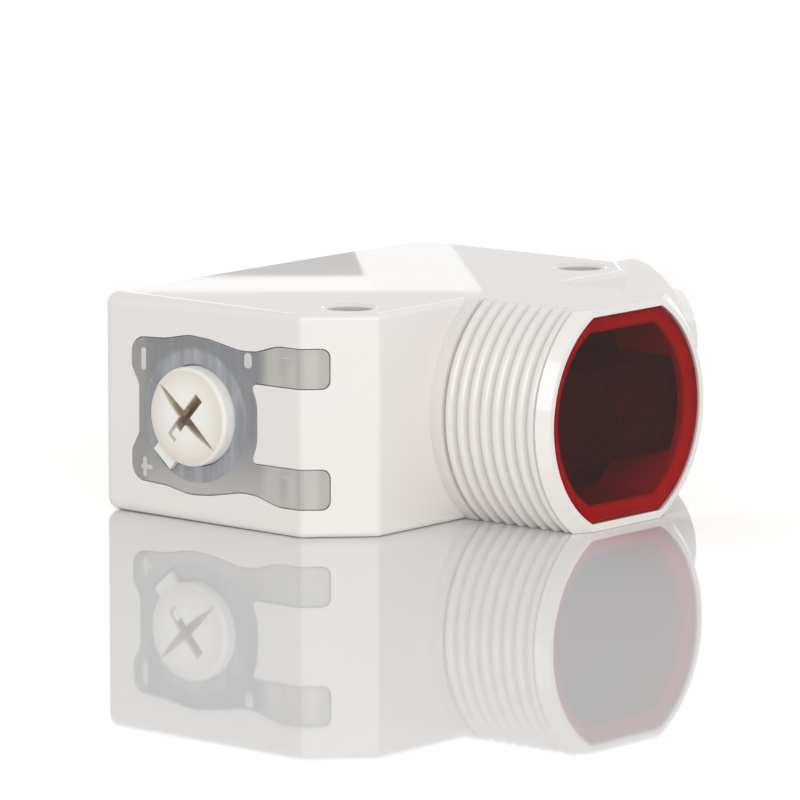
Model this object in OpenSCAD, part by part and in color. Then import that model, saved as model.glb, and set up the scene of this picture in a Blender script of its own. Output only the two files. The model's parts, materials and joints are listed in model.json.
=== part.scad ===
// Retroreflective photoelectric sensor, box housing with a threaded nose.
// It lies on its flat side. X runs out along the optical axis, Y towards the connector, Z up.
// The origin is under the optical axis, on the resting side, in the plane of the front wall.

/* [Housing] */
// Depth of the box part, from its back to the front wall
body_depth = 21.4; // [20:0.1:26]
// Optical axis to the adjuster face
adjuster_reach = 18; // [17:0.1:24]
// Optical axis to the connector end face
connector_reach = 15.3; // [14.5:0.1:22]
// Thickness between the two flat sides
body_thick = 15; // [14:0.1:20]
// Wall of the moulding
wall = 1.5; // [1.2:0.1:2]
// Bevel of the front corner at the adjuster end, seen from the flat side
corner_bevel = 3.75; // [3:0.05:5]
// Bevel of the front corner at the connector end
far_bevel = 3.2; // [2.5:0.05:4]
// Rounding of the edges round both flat sides
edge_round = 0.4; // [0.2:0.1:0.8]
// Rounding of the same edges along the back
back_edge_round = 0.9; // [0.2:0.1:0.9]
// Rounding of the front corners
front_corner_r = 0.5; // [0.4:0.1:1]
// Rounding of the back corner at the adjuster end
back_corner_r = 1; // [1:0.1:2]
// Rounding of the back corner at the connector end
far_corner_r = 2.8; // [1:0.1:3]

/* [Nose] */
// Outside diameter of the nose thread
nose_d = 18; // [14:0.1:22]
// Length of the nose in front of the wall
nose_length = 9.7; // [8:0.1:14]
// Pitch of the nose thread
thread_pitch = 1; // [0.75:0.25:1.5]
// Depth of the thread
thread_depth = 0.5; // [0.3:0.05:0.6]
// Plain neck behind the thread
neck_length = 0.95; // [0.5:0.05:1.5]
// Plain collar in front of the thread, with the bevel
front_collar = 0.75; // [0.7:0.05:1.2]
// Bevel of the front edge
nose_bevel = 0.7; // [0.3:0.05:0.7]
// Rim round the window, on the round sides
round_rim = 1.16; // [1:0.02:1.6]
// Rim round the window, on the flat sides
flat_rim = 0.58; // [0.5:0.02:1.2]

/* [Front window] */
// Thickness of the red window
window_thick = 0.8; // [0.6:0.1:1.5]
// How far the window lies back from the rim
window_setback = 0.05; // [0:0.05:0.3]
// Ledge that the window is welded to
window_ledge = 1.1; // [0.8:0.05:1.5]
// Gap round the window
window_gap = 0.05; // [0.02:0.01:0.1]

/* [Side holes] */
// Diameter of the mounting holes
hole_d = 3.2; // [3:0.1:3.6]
// Distance between the two mounting holes
hole_spacing = 24.6; // [22:0.1:27]
// Middle of the two holes, from the optical axis
hole_middle = -0.8; // [-1.2:0.1:0]
// Holes behind the front wall face
hole_setback = 3.55; // [3.4:0.05:5]
// Flare at the mouth of each hole
hole_flare = 0.25; // [0.1:0.05:0.5]
// Wall of the post round each hole
post_wall = 1; // [0.8:0.1:1.2]

/* [Rear cover] */
// Thickness of the rear cover
cover_thick = 1.5; // [1.2:0.1:2]
// Ledge that the cover is welded to
cover_ledge = 0.6; // [0.4:0.1:0.6]
// Gap round the cover
cover_gap = 0.05; // [0.02:0.01:0.1]
// Height of the locating lip
lip_height = 0.8; // [0.5:0.1:1]
// Thickness of the locating lip
lip_thick = 0.8; // [0.6:0.1:1.2]

/* [Adjuster] */
// Diameter of the knob
knob_d = 6.75; // [5.6:0.05:8.2]
// Axis of the knob behind the front wall face
knob_setback = 13; // [12.3:0.05:14]
// Knob and clear plate below the middle of the adjuster face
adjuster_drop = 0.2; // [0:0.05:0.4]
// How far the knob stands turned past its diagonal, in degrees
knob_turn = 4.5; // [0:0.5:10]
// How far the knob's rim stands out of the adjuster face
shoulder_height = 1; // [0.6:0.05:1.2]
// Rounding of the knob's rim
shoulder_round = 0.35; // [0.2:0.05:0.4]
// Height of the knob's dome above its rim
dome_height = 0.4; // [0.3:0.05:1]
// Depth of the long slot, which runs out to a point at each end
long_slot_depth = 1; // [0.6:0.05:1.2]
// Width of the long slot at its middle
long_slot_width = 0.72; // [0.6:0.02:1]
// Reach of the long slot's points from the middle
long_slot_reach = 3.2; // [2.5:0.05:3.3]
// Depth of the short slot
short_slot_depth = 1.5; // [1:0.05:1.7]
// Width of the short slot
short_slot_width = 0.75; // [0.6:0.05:1.2]
// Reach of the short slot on its long side
short_slot_reach = 1.9; // [1.2:0.05:2.2]
// Reach of the pointer tab past the knob
tab_reach = 0.8; // [0.5:0.05:1]
// Width of the pointer tab
tab_width = 1.9; // [1:0.1:2.2]
// Thickness of the pointer tab
tab_thick = 0.4; // [0.3:0.05:0.5]
// Diameter of the knob's stem
stem_d = 3; // [2.5:0.1:3.4]
// Running gap of the turning pieces
run_gap = 0.06; // [0.04:0.01:0.1]
// Gap between the pointer tab and its stop
stop_gap = 0.1; // [0.05:0.05:0.2]

/* [Indicator window] */
// Thickness of the clear plate
plate_thick = 1.2; // [1:0.1:1.4]
// Middle of the plate in front of the knob's axis
plate_shift = 0.3; // [0:0.05:0.4]
// Rim of the plate outside the pointer's track
plate_rim = 0.9; // [0.7:0.05:1.2]
// Reach of the ears past the round part
ear_reach = 0.65; // [0.4:0.05:1]
// Width of the two fingers
finger_width = 2.65; // [2:0.05:2.8]
// Length of the fingers past the bevelled corner
finger_wrap = 2; // [1.2:0.1:2.4]
// Rounding of the finger tips
finger_round = 0.6; // [0.2:0.1:0.8]
// Depth of the pointer's track
track_depth = 0.15; // [0.1:0.05:0.6]
// Gap round the plate
plate_gap = 0.05; // [0.02:0.01:0.1]
// Housing ledge under the plate
plate_ledge = 1; // [0.8:0.1:1.2]

/* [Connector] */
// Outside diameter of the collar
collar_d = 11.7; // [11:0.1:12.2]
// Length of the collar past the end face
collar_length = 13.4; // [11:0.1:16]
// Length of the tapered end
taper_length = 2; // [1:0.1:3]
// Narrowing of the tapered end, on the radius
taper_drop = 0.78; // [0.4:0.02:1]
// Axis of the connector behind the front wall face
collar_setback = 11.6; // [11.2:0.1:13]
// Diameter of the socket
socket_d = 8.6; // [8.2:0.1:9]
// Depth of the socket
socket_depth = 9; // [7:0.1:11]
// Diameter of the contact insert
insert_d = 9.7; // [9.4:0.1:9.8]
// How far the insert reaches back from the end face
insert_back = 4; // [3:0.1:6]
// Diameter of a contact pin
pin_d = 1; // [0.8:0.1:1.2]
// Circle on which the pins stand
pin_circle_d = 5.2; // [4.6:0.1:5.6]
// Height of the key in the socket
key_height = 0.45; // [0.3:0.05:0.5]
// Width of the key in the socket
key_width = 1; // [0.8:0.1:1.2]

/* [Optics] */
// Wall of the optics carrier outside the two lens seats
lens_wall = 0.35; // [0.3:0.05:0.6]
// Wall between the two lens seats
lens_web = 0.45; // [0.3:0.05:0.8]
// Thickness of a lens
lens_thick = 2; // [1.5:0.1:3]
// Thickness of a polarising film
film_thick = 0.3; // [0.2:0.05:0.5]
// Ledge behind each lens, round its light tube
lens_ledge = 0.5; // [0.4:0.05:0.8]
// Wall of the forward lens block above and below the lens seats
lens_block_wall = 0.17; // [0.15:0.01:0.6]
// Length of that block, in front of the flange
lens_block_length = 4.4; // [2:0.1:5]
// Air between the window and the lens block
lens_block_setback = 0.4; // [0.1:0.1:2]
// Gap round the optics carrier
carrier_gap = 0.1; // [0.05:0.01:0.2]

/* [Circuit boards] */
// Thickness of a circuit board
board_thick = 1; // [0.8:0.1:1.6]
// Front face of the main board behind the front wall face
board_setback = 6.6; // [6.5:0.1:8]
// Gap between the main board and the side walls
board_gap = 0.3; // [0.1:0.1:0.6]
// Height of the chips
chip_height = 1.1; // [0.8:0.1:1.6]

/* [Hidden] */
$fn = 96;
post_fn = 32;
eps = 0.01;
seat_gap = 0.05;
mid_z = body_thick / 2;
adjuster_z = mid_z - adjuster_drop;

// Edges of the box part and of its hollow
back_x = -body_depth;
front_y = -adjuster_reach;
end_y = connector_reach;
plate_back = adjuster_reach - plate_thick;
hollow_front_y = -(plate_back - plate_ledge);
hollow_end_y = end_y - wall;
cover_x = back_x + cover_thick;
opening_end_y = end_y - far_corner_r - cover_ledge;

// The six walls round the box part, clockwise from the front one. Each has the direction it faces,
// its distance from the origin, its thickness, and for the corner that follows it the rounding of
// the corner and of its two ends.
walls = [
    [0, 0, wall, front_corner_r, edge_round],
    [-45, (adjuster_reach - corner_bevel) * cos(45), plate_thick + wall + 0.15, front_corner_r, edge_round],
    [-90, adjuster_reach, plate_thick + plate_ledge, back_corner_r, back_edge_round],
    [-180, body_depth, -1, far_corner_r, back_edge_round],
    [-270, connector_reach, wall, front_corner_r, edge_round],
    [-315, (connector_reach - far_bevel) * cos(45), wall, front_corner_r, edge_round]
];

// Nose and window
nose_r = nose_d / 2;
nose_half = min(mid_z, nose_r);
window_r = nose_r - round_rim;
window_half = nose_half - flat_rim;
window_front = nose_length - window_setback;
window_back = window_front - window_thick;
nose_bore_r = window_r - window_ledge;
nose_bore_half = window_half - window_ledge;

// Mounting holes
hole_r = hole_d / 2;
post_r = hole_r + post_wall;
hole_ys = [hole_middle - hole_spacing / 2, hole_middle + hole_spacing / 2];

// Knob, its track and the clear plate, measured from the knob's axis
knob_r = knob_d / 2;
stem_r = stem_d / 2;
dome_r = (knob_r * knob_r + dome_height * dome_height) / (2 * dome_height);
knob_top = adjuster_reach + shoulder_height + dome_height;
track_r = knob_r + tab_reach + 0.35;
plate_r = track_r - 0.15 + plate_rim;
plate_setback = knob_setback - plate_shift;
finger_mid = plate_r + 0.1 - finger_width / 2;
track_floor = adjuster_reach - track_depth;
knob_foot = plate_back - 0.55;
bush_front = plate_back - seat_gap;
bush_floor = knob_foot - seat_gap;
bush_back = plate_back - 2.1;
bush_r = plate_r - 0.8;
foot_side = 0.2;
foot_in = 0.2;
foot_rise = 0.3;
waist_in = 0.15;
waist_down = 0.35;
hook_width = 0.3;
hook_length = 1;
hook_height = 0.8;
hook_start = 2;
hook_drop = 0.4;
hook_depth = 0.6;
short_slot_back = 1.05;
middle_slot_width = 0.6;
middle_slot_back = 0.8;
middle_slot_reach = 1.5;
seal_wire_r = 0.4;
seal_r = stem_r + run_gap / 2 + seal_wire_r;
seal_bed = bush_floor - 2 * seal_wire_r - seat_gap;
rotor_r = stem_r + 0.4;
rotor_back = bush_back - 3.4;
trimmer_front = bush_back - seat_gap;
trimmer_back = trimmer_front - 4;
trimmer_half = 4.1;
rotor_play = 0.1;

// Connector
collar_r = collar_d / 2;
collar_end = end_y + collar_length;
socket_r = socket_d / 2;
socket_floor = collar_end - socket_depth;
insert_r = insert_d / 2;
insert_bore_r = insert_r + seat_gap;
insert_rear = end_y - insert_back;
insert_seal_wire_r = 0.35;
pin_point = 2;
pin_tail = 0.4;

// Optics
carrier_front = window_back - lens_block_setback;
carrier_flange = carrier_front - lens_block_length;
carrier_r = nose_bore_r - carrier_gap;
carrier_half = nose_bore_half - carrier_gap;
carrier_back = -board_setback + carrier_gap;
film_front = carrier_front - seat_gap;
film_back = film_front - film_thick;
lens_front = film_back;
lens_back = lens_front - lens_thick;
film_seat_r = (carrier_r - lens_wall - lens_web / 2) / 2;
film_r = film_seat_r - 0.02;
lens_r = film_r - 0.12;
lens_curve_r = 5;
lens_spacing = 2 * film_seat_r + lens_web;
tube_r = lens_r - lens_ledge;

// Boards
board_front_x = -board_setback;
board_back_x = board_front_x - board_thick;
board_low_z = wall + board_gap;
board_high_z = body_thick - wall - board_gap;
board_start_y = hollow_front_y + 0.2;
link_board_front = insert_rear - carrier_gap;
link_board_back = link_board_front - board_thick;
board_end_y = link_board_front;
led_size = [1.1, 0.65, 1.6];
can_size = [2.8, 7.6, 8.4];
can_start_y = -1;
can_wall = 0.25;
amplifier_size = [4, 5];
control_size = [5, 5];
control_gap = 1.5;
transistor_size = [1.4, 2.9];
transistor_gap = 0.4;
transistor_side = 2.4;
capacitor_size = [1, 1.2, 1.6];
capacitor_gap = 0.5;
capacitor_side = 3.6;
header_size = [1, 0.9, 7];
optic_side = (tube_r - 0.27) * sqrt(2);
optic_base = [0.8, optic_side, optic_side];
optic_collar = 0.3;
optic_r = optic_side / 3;

white = [0.93, 0.92, 0.9];
black = [0.09, 0.09, 0.1];
smoke = [0.55, 0.56, 0.58, 0.6];
board_green = [0.1, 0.36, 0.22];

// Places a shape that is drawn upwards so that it points out of the nose
module on_nose(x) {
    translate([x, 0, mid_z]) rotate([0, 90, 0]) children();
}

// Places a shape that is drawn upwards so that it points out of the adjuster face.
// Its height is then the distance from the optical axis.
module on_adjuster(setback = knob_setback) {
    translate([-setback, 0, adjuster_z]) rotate([90, 0, 0]) children();
}

// Places a shape that is drawn upwards so that it points out of the connector
module on_connector(y) {
    translate([-collar_setback, y, mid_z]) rotate([-90, 0, 0]) children();
}

// Round bar with two flat sides, as the nose and all that lies in it
module flat_sided(r, half, h) {
    intersection() {
        cylinder(r = r, h = h);
        translate([-half, -r - 1, -1]) cube([2 * half, 2 * r + 2, h + 2]);
    }
}

// Box given by its low and high corners
module block(low, high) {
    translate(low) cube(high - low);
}

// Centre of a round that touches two walls, or their corner when the round is zero
function corner_of(a, b, r) = let(
    p = a[1] - r,
    q = b[1] - r,
    turn = sin(b[0] - a[0])
) [(p * sin(b[0]) - q * sin(a[0])) / turn, (q * cos(a[0]) - p * cos(b[0])) / turn];

// Wall that comes after wall i
function next_wall(i) = walls[(i + 1) % len(walls)];

// Corner post of the box part, with its two ends rounded over
module corner_post(r, ends) {
    rotate_extrude($fn = post_fn) {
        square([r - ends, body_thick]);
        translate([0, ends]) square([r, body_thick - 2 * ends]);
        intersection() {
            for (z = [ends, body_thick - ends])
                translate([r - ends, z]) circle(r = ends, $fn = post_fn);
            square([r, body_thick]);
        }
    }
}

// Solid outer form of the box part, a smooth shell stretched over its corner posts
module box_form() {
    hull() for (i = [0 : len(walls) - 1])
        translate(concat(corner_of(walls[i], next_wall(i), walls[i][3]), 0))
            corner_post(walls[i][3], walls[i][4]);
}

// Hollow of the box part, open at the back
module box_hollow() {
    inner = [for (w = walls) [w[0], w[1] - w[2]]];
    difference() {
        translate([0, 0, wall]) linear_extrude(body_thick - 2 * wall)
            polygon([for (i = [0 : len(inner) - 1]) corner_of(inner[i], inner[(i + 1) % len(inner)], 0)]);
        // The far corner stays solid behind its larger rounding
        block([back_x - 2, opening_end_y, 0], [back_x + far_corner_r, end_y, body_thick]);
    }
}

// Seat of the rear cover, or the cover itself when it is shrunk by a gap
module cover_block(x0, x1, gap) {
    block([x0, hollow_front_y - cover_ledge + gap, wall - cover_ledge + gap],
        [x1, opening_end_y + cover_ledge - gap, body_thick - wall + cover_ledge - gap]);
}

// Profile of one thread crest, a rounded ridge with flanks at 30 degrees
module crest_profile() {
    crest_r = 0.3 * thread_pitch;
    ridge = nose_r - crest_r;
    touch = [ridge + crest_r * sin(30), crest_r * cos(30)];
    root = nose_r - thread_depth - eps;
    foot = touch[1] + (touch[0] - root) * tan(30);
    translate([ridge, 0]) circle(r = crest_r, $fn = 48);
    polygon([[root, -foot], [touch[0], -touch[1]], [touch[0], touch[1]], [root, foot]]);
}

// Nose with its neck, thread and bevelled collar, a little sunk into the front wall.
// Separate rings stand in for the thread's turns.
module nose_form() {
    crests = floor((nose_length - front_collar - neck_length) / thread_pitch + eps);
    collar = nose_length - neck_length - crests * thread_pitch;
    on_nose(0) intersection() {
        union() {
            translate([0, 0, -wall / 2]) cylinder(r = nose_r - thread_depth, h = nose_length);
            translate([0, 0, -wall / 2]) cylinder(r = nose_r, h = neck_length + wall / 2);
            for (i = [0 : crests - 1]) translate([0, 0, neck_length + (i + 0.5) * thread_pitch])
                rotate_extrude() crest_profile();
            translate([0, 0, nose_length - collar]) cylinder(r = nose_r, h = collar - nose_bevel);
            translate([0, 0, nose_length - nose_bevel])
                cylinder(r1 = nose_r, r2 = nose_r - nose_bevel, h = nose_bevel);
        }
        translate([-nose_half, -nose_r - 1, -wall])
            cube([2 * nose_half, 2 * nose_r + 2, nose_length + wall]);
    }
}

// Corners of the clear plate's upper half, seen from outside and measured from the plate's middle.
// Each has its place and its rounding, from the left waist over the ear to the right waist.
function plate_corners() = let(
    ear = plate_r + ear_reach,
    top = finger_mid + finger_width / 2,
    under = finger_mid - finger_width / 2,
    past_corner = plate_setback - corner_bevel + 1
) [
    [-plate_r, 1.7, 1],
    [-ear, 2.85, 1],
    [-ear, top - 0.55, 1.1],
    [-0.55 * plate_r, top - 0.4, 4],
    [-0.15 * plate_r, top + 0.02, 4],
    [0.2 * plate_r, top - 0.12, 4],
    [0.72 * plate_r, top - 0.62, 4],
    [0.98 * plate_r, top - 0.55, 3],
    [plate_r + 1.7, top, 3],
    [past_corner, top, 0],
    [past_corner, under, 0],
    [plate_r - 0.65, under, 0.35],
    [plate_r - 0.1, 1.3, 2.5]
];

// Points of a corner at b between a and c, rounded by r
function rounded_corner(a, b, c, r) = let(
    back = (a - b) / norm(a - b),
    ahead = (c - b) / norm(c - b),
    half = acos(back * ahead) / 2,
    middle = (back + ahead) / norm(back + ahead),
    side = sign(cross(ahead, back)),
    start = atan2(-middle[1], -middle[0]) - side * (90 - half),
    steps = 8
) r == 0 ? [b] : [
    for (k = [0 : steps]) let(angle = start + side * 2 * (90 - half) * k / steps)
        b + middle * r / sin(half) + r * [cos(angle), sin(angle)]
];

// Outline of the whole plate on the adjuster face
module plate_outline() {
    upper = plate_corners();
    n = len(upper);
    all = concat(upper, [for (i = [n - 1 : -1 : 0]) [upper[i][0], -upper[i][1], upper[i][2]]]);
    m = len(all);
    spots = [for (c = all) [c[0], c[1]]];
    polygon([for (i = [0 : m - 1])
        for (p = rounded_corner(spots[(i + m - 1) % m], spots[i], spots[(i + 1) % m], all[i][2])) p]);
}

// One finger of the clear plate, bent round the bevelled corner and rounded at its tip
module finger(side, grow) {
    half = finger_width / 2 + grow;
    depth = plate_thick + grow;
    out = grow > 0 ? 1 : 0;
    tip = finger_wrap + grow;
    mitre = depth * tan(22.5);
    translate([-corner_bevel, front_y, adjuster_z + side * finger_mid]) {
        translate([0, 0, -half]) linear_extrude(2 * half) polygon([
            [-1.2, -out], [out * tan(22.5), -out], [-mitre, depth], [-1.2, depth]
        ]);
        rotate([0, 0, 45]) intersection() {
            translate([0, 0, -half]) linear_extrude(2 * half) polygon([
                [-out * tan(22.5), -out], [tip, -out], [tip, depth], [mitre - 0.3, depth]
            ]);
            translate([0, depth + 1, 0]) rotate([90, 0, 0]) linear_extrude(depth + out + 2) {
                translate([-depth, -half]) square([tip + depth - finger_round, 2 * half]);
                translate([0, finger_round - half]) square([tip, 2 * (half - finger_round)]);
                for (z = [-1, 1]) translate([tip - finger_round, z * (half - finger_round)])
                    circle(r = finger_round);
            }
        }
    }
}

// Light stub behind a finger, which reaches through the housing ledge to its indicator
module light_stub(side, grow) {
    half = led_size[2] / 2 + grow;
    out = grow > 0 ? 1 : -seat_gap;
    z = adjuster_z + side * finger_mid;
    block([board_front_x - grow, front_y + plate_thick - eps, z - half],
        [board_front_x + led_size[0] + grow, hollow_front_y + out, z + half]);
}

// Clear plate with its two fingers and light stubs, grown for its pocket
module plate_form(grow) {
    out = grow > 0 ? 1 : 0;
    intersection() {
        on_adjuster(plate_setback) translate([0, 0, plate_back - grow])
            linear_extrude(plate_thick + grow + out) offset(delta = grow) plate_outline();
        block([-plate_setback - plate_r - 2, front_y - out, 0], [-corner_bevel, 0, body_thick]);
    }
    for (side = [-1, 1]) {
        finger(side, grow);
        light_stub(side, grow);
    }
}

// Opening under the clear plate, which the bush fills
module bush_outline(shrink) {
    circle(r = bush_r - shrink);
    translate([-bush_r + waist_in + shrink, -bush_r + waist_down + shrink])
        square([bush_r - 1, 2 * (bush_r - waist_down - shrink)]);
}

module mounting_hole(y) {
    translate([-hole_setback, y, -1]) cylinder(r = hole_r, h = body_thick + 2);
    translate([-hole_setback, y, -eps])
        cylinder(r1 = hole_r + hole_flare + eps, r2 = hole_r, h = hole_flare + eps);
    translate([-hole_setback, y, body_thick - hole_flare])
        cylinder(r1 = hole_r, r2 = hole_r + hole_flare + eps, h = hole_flare + eps);
}

// Hollow socket of the connector and the bore for its contact insert
module connector_hollow() {
    difference() {
        on_connector(socket_floor) cylinder(r = socket_r, h = socket_depth + 1);
        on_connector(socket_floor - 1)
            translate([-key_width / 2, socket_r - key_height, 0])
                cube([key_width, 1, socket_depth]);
    }
    on_connector(hollow_end_y - 1) cylinder(r = insert_bore_r, h = socket_floor - hollow_end_y + 1);
}

module housing() color(white) difference() {
    union() {
        difference() {
            box_form();
            box_hollow();
        }
        for (y = hole_ys) translate([-hole_setback, y, wall / 2])
            cylinder(r = post_r, h = body_thick - wall);
        nose_form();
        on_connector(hollow_end_y + eps)
            cylinder(r = collar_r, h = collar_end - taper_length - hollow_end_y - eps);
        on_connector(collar_end - taper_length)
            cylinder(r1 = collar_r, r2 = collar_r - taper_drop, h = taper_length);
    }
    for (y = hole_ys) mounting_hole(y);
    cover_block(back_x - 1, cover_x, 0);
    on_nose(window_back) flat_sided(window_r + window_gap, window_half + window_gap, 5);
    on_nose(-wall - 1) flat_sided(nose_bore_r, nose_bore_half, window_back + wall + 2);
    plate_form(plate_gap);
    on_adjuster() translate([0, 0, plate_back - plate_ledge - 1])
        linear_extrude(plate_ledge + 1 + eps) bush_outline(0);
    connector_hollow();
}

module rear_cover() color(white) {
    cover_block(back_x, cover_x, cover_gap);
    difference() {
        block([cover_x - eps, hollow_front_y + seat_gap, wall + seat_gap],
            [cover_x + lip_height, opening_end_y - seat_gap, body_thick - wall - seat_gap]);
        block([cover_x, hollow_front_y + lip_thick, wall + lip_thick],
            [cover_x + lip_height + 1, opening_end_y - lip_thick, body_thick - wall - lip_thick]);
    }
}

module front_window() color([0.6, 0.05, 0.07]) {
    bevel = 0.15;
    on_nose(window_back) flat_sided(window_r, window_half, window_thick - bevel);
    on_nose(window_front - bevel - eps) intersection() {
        cylinder(r1 = window_r, r2 = window_r - bevel, h = bevel + eps);
        translate([-window_half + bevel, -window_r, 0])
            cube([2 * (window_half - bevel), 2 * window_r, bevel + eps]);
    }
}

// Pointer's track, all but the stop rib between the two ends of the pointer's travel
module pointer_track() {
    // The rib's two faces are parallel to the sides of the pointer tab where it stops
    apex = -(tab_width / 2 + stop_gap) / sin(45);
    difference() {
        cylinder(r = track_r, h = track_depth + 1);
        translate([0, 0, -1]) linear_extrude(track_depth + 3)
            polygon([[apex, 0], [apex - 9, 9], [apex - 9, -9]]);
    }
}

module indicator_window() color(smoke) difference() {
    plate_form(0);
    on_adjuster() translate([0, 0, track_floor]) rotate([0, 0, knob_turn]) pointer_track();
    on_adjuster() translate([0, 0, plate_back - 1])
        cylinder(r = knob_r + run_gap, h = plate_thick + 2);
}

// Head of the knob, a shallow dome on a rim with a rounded edge
module knob_head() {
    rim = knob_top - dome_height + 0.3 * shoulder_round;
    intersection() {
        translate([0, 0, knob_top - dome_r]) sphere(r = dome_r);
        translate([0, 0, knob_foot]) rotate_extrude() {
            square([knob_r - shoulder_round, rim - knob_foot]);
            square([knob_r, rim - shoulder_round - knob_foot]);
            translate([knob_r - shoulder_round, rim - shoulder_round - knob_foot])
                circle(r = shoulder_round);
        }
    }
}

module adjuster_knob() color([0.92, 0.9, 0.86]) difference() {
    on_adjuster() union() {
        knob_head();
        translate([0, 0, rotor_back]) cylinder(r = stem_r, h = knob_foot - rotor_back + eps);
        rotate([0, 0, knob_turn - 135])
            translate([knob_r - 0.5, -tab_width / 2, track_floor + run_gap])
                cube([tab_reach + 0.5, tab_width, tab_thick]);
    }
    // The long slot's two curved sides run together at its points, and its middle is wider
    on_adjuster() translate([0, 0, knob_top - long_slot_depth]) rotate([0, 0, knob_turn - 45]) {
        leaf_r = (pow(long_slot_reach, 2) + pow(long_slot_width / 2, 2)) / long_slot_width;
        linear_extrude(5) intersection_for(side = [-1, 1])
            translate([0, side * (leaf_r - long_slot_width / 2)]) circle(r = leaf_r, $fn = 360);
        translate([-middle_slot_back, -middle_slot_width / 2, 0])
            cube([middle_slot_back + middle_slot_reach, middle_slot_width, 5]);
    }
    on_adjuster() translate([0, 0, knob_top - short_slot_depth])
        rotate([0, 0, knob_turn + 45]) {
            translate([-short_slot_back, -short_slot_width / 2, 0])
                cube([short_slot_back + short_slot_reach, short_slot_width, 5]);
            // Hooked mark beside the pointer end of the short slot
            translate([-hook_start, hook_height - hook_drop - hook_width, short_slot_depth - hook_depth])
                cube([hook_length, hook_width, 5]);
            translate([-hook_start, -hook_drop, short_slot_depth - hook_depth])
                cube([hook_width, hook_height, 5]);
        }
}

module adjuster_seal() color(black) on_adjuster()
    translate([0, 0, bush_floor - seat_gap - seal_wire_r]) rotate_extrude()
        translate([seal_r, 0]) circle(r = seal_wire_r);

module adjuster_bush() color(black) difference() {
    on_adjuster() union() {
        translate([0, 0, bush_back + 1]) linear_extrude(bush_front - bush_back - 1)
            bush_outline(seat_gap);
        // The foot under the ledge ends short on the side of the main board
        translate([-bush_r - foot_side, -bush_r - foot_rise, bush_back])
            cube([2 * bush_r + foot_side - foot_in, 2 * (bush_r + foot_rise),
                plate_back - plate_ledge - seat_gap - bush_back]);
    }
    on_adjuster() translate([0, 0, bush_floor]) cylinder(r = knob_r + run_gap, h = 5);
    on_adjuster() translate([0, 0, seal_bed]) cylinder(r = seal_r + seal_wire_r + 0.02, h = 5);
    on_adjuster() translate([0, 0, bush_back - 1]) cylinder(r = stem_r + run_gap, h = 10);
}

module trimmer_body() color([0.16, 0.3, 0.55]) difference() {
    block([-knob_setback - trimmer_half, -trimmer_front, adjuster_z - trimmer_half],
        [board_back_x, -trimmer_back, adjuster_z + trimmer_half]);
    on_adjuster() translate([0, 0, rotor_back - rotor_play])
        cylinder(r = rotor_r + run_gap, h = trimmer_front - rotor_back + 1);
}

module trimmer_rotor() color([0.9, 0.9, 0.86]) on_adjuster()
    translate([0, 0, rotor_back]) difference() {
        cylinder(r = rotor_r, h = trimmer_front - rotor_play - rotor_back);
        translate([0, 0, -1]) cylinder(r = stem_r, h = 10);
    }

module optics_carrier() color(black) difference() {
    union() {
        on_nose(carrier_back) flat_sided(carrier_r, carrier_half, carrier_flange - carrier_back);
        on_nose(carrier_back)
            flat_sided(carrier_r, film_seat_r + lens_block_wall, carrier_front - carrier_back);
    }
    for (side = [-1, 1]) translate([0, side * lens_spacing / 2, 0]) {
        on_nose(carrier_back - 1) cylinder(r = tube_r, h = carrier_front - carrier_back + 2);
        on_nose(lens_back) cylinder(r = lens_r + 0.02, h = carrier_front - lens_back + 1);
        on_nose(film_back) cylinder(r = film_seat_r, h = 2);
    }
}

// Lens with a domed front, for the emitter or the receiver
module lens(side) {
    translate([0, side * lens_spacing / 2, 0]) intersection() {
        on_nose(lens_back) cylinder(r = lens_r, h = lens_thick);
        on_nose(lens_front - lens_curve_r) sphere(r = lens_curve_r);
    }
}

module polariser(side) {
    translate([0, side * lens_spacing / 2, 0]) on_nose(film_back) cylinder(r = film_r, h = film_thick);
}

module emitter_lens() color([0.85, 0.88, 0.9, 0.5]) lens(-1);
module receiver_lens() color([0.85, 0.88, 0.9, 0.5]) lens(1);
module emitter_polariser() color([0.3, 0.3, 0.34, 0.7]) polariser(-1);
module receiver_polariser() color([0.3, 0.3, 0.34, 0.7]) polariser(1);

// Surface-mounted light source or detector, a square base with a small dome
module optic_chip(side) {
    translate([board_front_x, side * lens_spacing / 2, mid_z]) {
        translate([0, -optic_base[1] / 2, -optic_base[2] / 2]) cube(optic_base);
        translate([optic_base[0] - eps, 0, 0]) rotate([0, 90, 0]) cylinder(r = optic_r, h = optic_collar);
        translate([optic_base[0] + optic_collar, 0, 0]) sphere(r = optic_r - 2 * eps);
    }
}

module emitter_led() color([0.85, 0.2, 0.15]) optic_chip(-1);
module receiver_diode() color([0.12, 0.1, 0.14]) optic_chip(1);

module main_board() color(board_green)
    block([board_back_x, board_start_y, board_low_z], [board_front_x, board_end_y, board_high_z]);

module shield_can() color([0.75, 0.76, 0.78]) difference() {
    block([board_back_x - can_size[0], can_start_y, mid_z - can_size[2] / 2],
        [board_back_x, can_start_y + can_size[1], mid_z + can_size[2] / 2]);
    block([board_back_x - can_size[0] + can_wall, can_start_y + can_wall, mid_z - can_size[2] / 2 + can_wall],
        [board_back_x + 1, can_start_y + can_size[1] - can_wall, mid_z + can_size[2] / 2 - can_wall]);
}

// Chip on the back of the main board, from y on along the board and centred on height z
module back_chip(y, z, size) {
    block([board_back_x - chip_height, y, z - size[1] / 2], [board_back_x, y + size[0], z + size[1] / 2]);
}

module amplifier_chip() color(black)
    back_chip(can_start_y + (can_size[1] - amplifier_size[0]) / 2, mid_z, amplifier_size);

module control_chip() color(black)
    back_chip(can_start_y - control_gap - control_size[0], mid_z, control_size);

module output_transistors() color(black) for (side = [-1, 1])
    back_chip(can_start_y + can_size[1] + transistor_gap, mid_z + side * transistor_side, transistor_size);

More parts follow.
